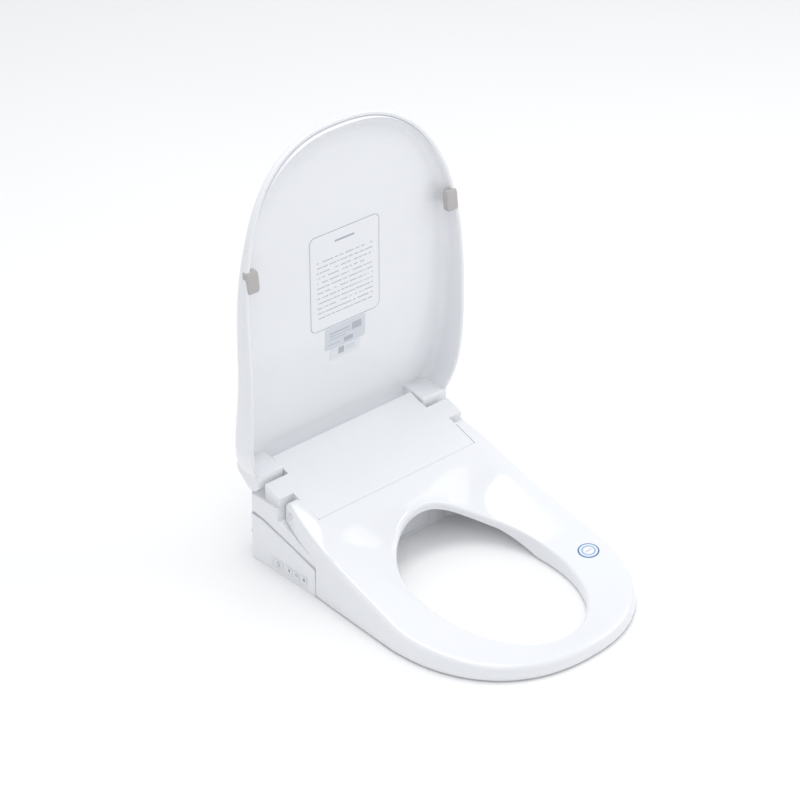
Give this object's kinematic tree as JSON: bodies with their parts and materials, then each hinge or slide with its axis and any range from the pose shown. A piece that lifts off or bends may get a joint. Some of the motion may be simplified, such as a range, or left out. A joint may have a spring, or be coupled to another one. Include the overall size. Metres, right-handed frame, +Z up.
{
  "type": "electric bidet seat",
  "caption": "Electric bidet seat: a dished lid and an oval seat on soft-close hinges, and a rear housing with a spray wand behind a gate, a water heater, a dryer and side keys.",
  "frame": {"origin": "midway between the two fixing bolts, on the flat underside that rests on the bowl", "axes": "+X towards the sitter's left, +Y back to the cistern, +Z up; stored with the lid open and the seat down"},
  "size_m": [0.383, 0.502, 0.588],
  "materials": {
    "white_gloss": "gloss",
    "white_satin": "satin",
    "grey_rubber": "matt",
    "label_white": "printed film",
    "badge_blue": "gloss",
    "bare_steel": "brushed",
    "dark_plastic": "satin",
    "inner_plastic": "satin",
    "motor_metal": "satin",
    "board_green": "solder mask",
    "foil_copper": "foil"
  },
  "bodies": {
    "case": {"base_housing": "white_satin", "blower_housing": "inner_plastic", "blower_motor": "motor_metal", "button_board": "board_green", "button_trim": "white_gloss", "case_screws": "bare_steel", "control_side_panel": "white_gloss", "cord_gland": "dark_plastic", "dryer_duct": "inner_plastic", "feed_pipe": "inner_plastic", "gate_pin": "bare_steel", "heating_element": "bare_steel", "lid_dampers": "dark_plastic", "main_board": "board_green", "mounting_plate": "bare_steel", "plain_side_panel": "white_gloss", "seat_dampers": "dark_plastic", "solenoid_valve": "motor_metal", "tank_cap": "dark_plastic", "top_cover": "white_gloss", "wand_guide": "dark_plastic", "wand_motor": "motor_metal", "water_inlet": "inner_plastic", "water_tank": "inner_plastic"},
    "lid": {"lid_shell": "white_gloss", "lid_bumpers": "grey_rubber", "lid_hinge_pins": "bare_steel", "care_label": "label_white", "rating_sticker": "label_white"},
    "seat": {"seat_upper_shell": "white_gloss", "seat_base_plate": "white_satin", "seat_heating_foil": "foil_copper", "seat_bumpers": "grey_rubber", "seat_hinge_pins": "bare_steel", "seat_badge": "badge_blue"},
    "wand": {"nozzle_tip": "inner_plastic", "wand_tube": "inner_plastic", "wand_rack": "dark_plastic"},
    "pinion": {"drive_pinion": "dark_plastic"},
    "gate": {"spray_gate": "white_satin"},
    "fan": {"fan_impeller": "inner_plastic"},
    "release": {"release_button": "white_gloss", "release_latch": "dark_plastic"},
    "rear_wash_key": {"rear_wash_button": "white_satin"},
    "front_wash_key": {"front_wash_button": "white_satin"},
    "dryer_key": {"dryer_button": "white_satin"},
    "stop_key": {"stop_button": "white_satin"}
  },
  "joints": [
    {"name": "lid_hinge", "type": "hinge", "parent": "case", "child": "lid", "pos_m": [0, 0.012, 0.119], "axis": [1, 0, 0], "range_deg": [0, 101.5]},
    {"name": "seat_hinge", "type": "hinge", "parent": "case", "child": "seat", "pos_m": [0, -0.057, 0.093], "axis": [1, 0, 0], "range_deg": [-105, 0]},
    {"name": "wand_slide", "type": "slide", "parent": "case", "child": "wand", "axis": [0, -0.8387, -0.5446], "range_m": [0, 0.06]},
    {"name": "pinion_spin", "type": "hinge", "parent": "case", "child": "pinion", "pos_m": [0, -0.03225, 0.0763], "axis": [1, 0, 0], "range_deg": [-546, 0]},
    {"name": "gate_swing", "type": "hinge", "parent": "case", "child": "gate", "pos_m": [0, -0.0926, 0.043], "axis": [1, 0, 0], "range_deg": [-75, 0]},
    {"name": "fan_spin", "type": "hinge", "parent": "case", "child": "fan", "pos_m": [-0.094, -0.026, 0.02], "axis": [0, 0, 1], "continuous": true},
    {"name": "release_push", "type": "slide", "parent": "case", "child": "release", "axis": [-1, 0, 0], "range_m": [0, 0.004], "stiffness_N_per_m": 500, "springref_m": -0.002},
    {"name": "rear_wash_press", "type": "slide", "parent": "case", "child": "rear_wash_key", "axis": [1, 0, 0], "range_m": [0, 0.0012], "stiffness_N_per_m": 400, "springref_m": -0.001},
    {"name": "front_wash_press", "type": "slide", "parent": "case", "child": "front_wash_key", "axis": [1, 0, 0], "range_m": [0, 0.0012], "stiffness_N_per_m": 400, "springref_m": -0.001},
    {"name": "dryer_press", "type": "slide", "parent": "case", "child": "dryer_key", "axis": [1, 0, 0], "range_m": [0, 0.0012], "stiffness_N_per_m": 400, "springref_m": -0.001},
    {"name": "stop_press", "type": "slide", "parent": "case", "child": "stop_key", "axis": [1, 0, 0], "range_m": [0, 0.0012], "stiffness_N_per_m": 400, "springref_m": -0.001}
  ],
  "couplings": [
    {"joint": "pinion_spin", "follows": "wand_slide", "rad_per_m": -158.7},
    {"joint": "gate_swing", "follows": "wand_slide", "rad_per_m": -21.8}
  ]
}
